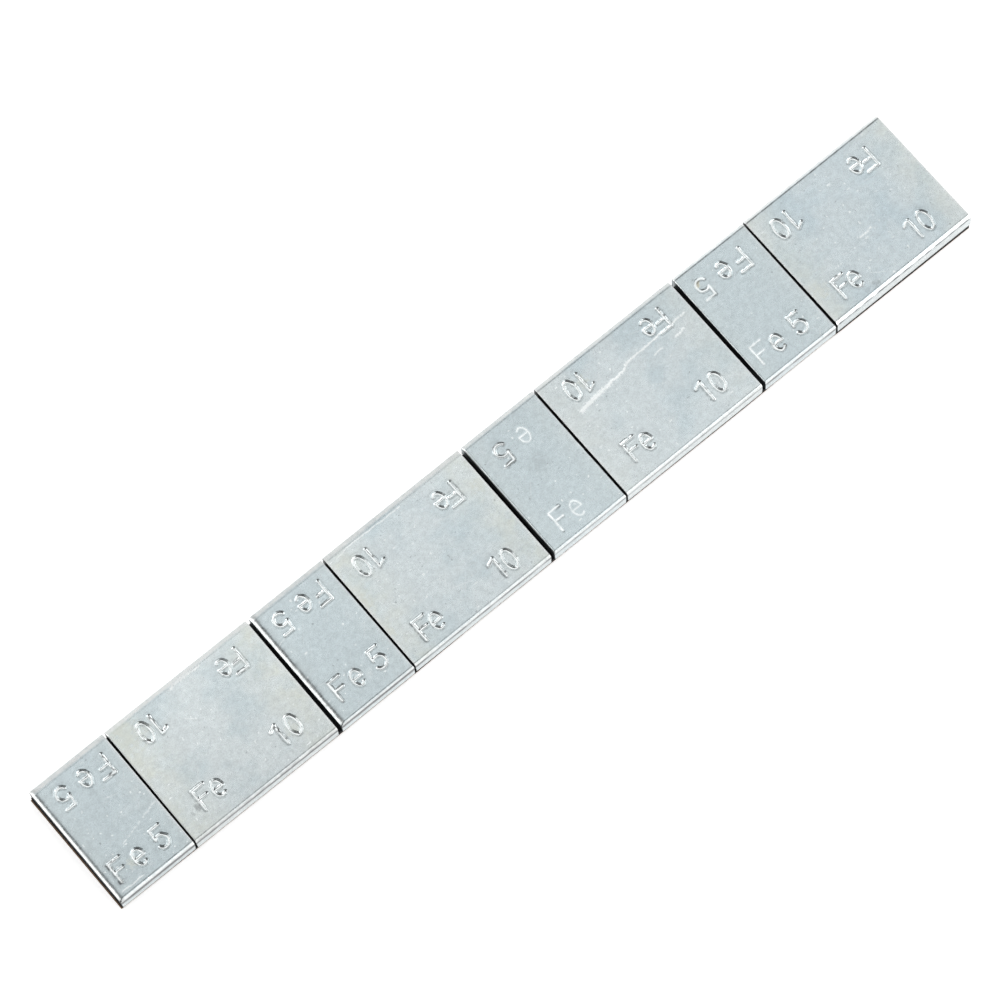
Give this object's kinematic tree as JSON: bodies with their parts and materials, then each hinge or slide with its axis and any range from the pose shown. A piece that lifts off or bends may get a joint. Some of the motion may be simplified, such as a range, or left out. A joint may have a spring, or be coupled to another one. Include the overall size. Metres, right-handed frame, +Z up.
{
  "type": "adhesive wheel balance weight strip",
  "caption": "Straight strip of short and long flat steel weights on black foam tape, stuck inside a wheel rim to balance it.",
  "frame": {"origin": "middle of the underside, where the release liner lies on the surface", "axes": "+X along the strip, +Y across it, +Z up from the adhesive side to the stamped faces"},
  "size_m": [0.1429, 0.0192, 0.0038],
  "materials": {
    "zinc_steel": "clear zinc plating, satin, with a faint blue and straw tint",
    "foam_tape": "matt black closed-cell foam tape",
    "release_liner": "smooth brown silicone-coated release paper"
  },
  "bodies": {
    "root": {"weight_1_5g": "zinc_steel", "weight_2_10g": "zinc_steel", "weight_3_5g": "zinc_steel", "weight_4_10g": "zinc_steel", "weight_5_5g": "zinc_steel", "weight_6_10g": "zinc_steel", "weight_7_5g": "zinc_steel", "weight_8_10g": "zinc_steel", "foam_tape": "foam_tape", "release_liner": "release_liner"}
  },
  "joints": []
}
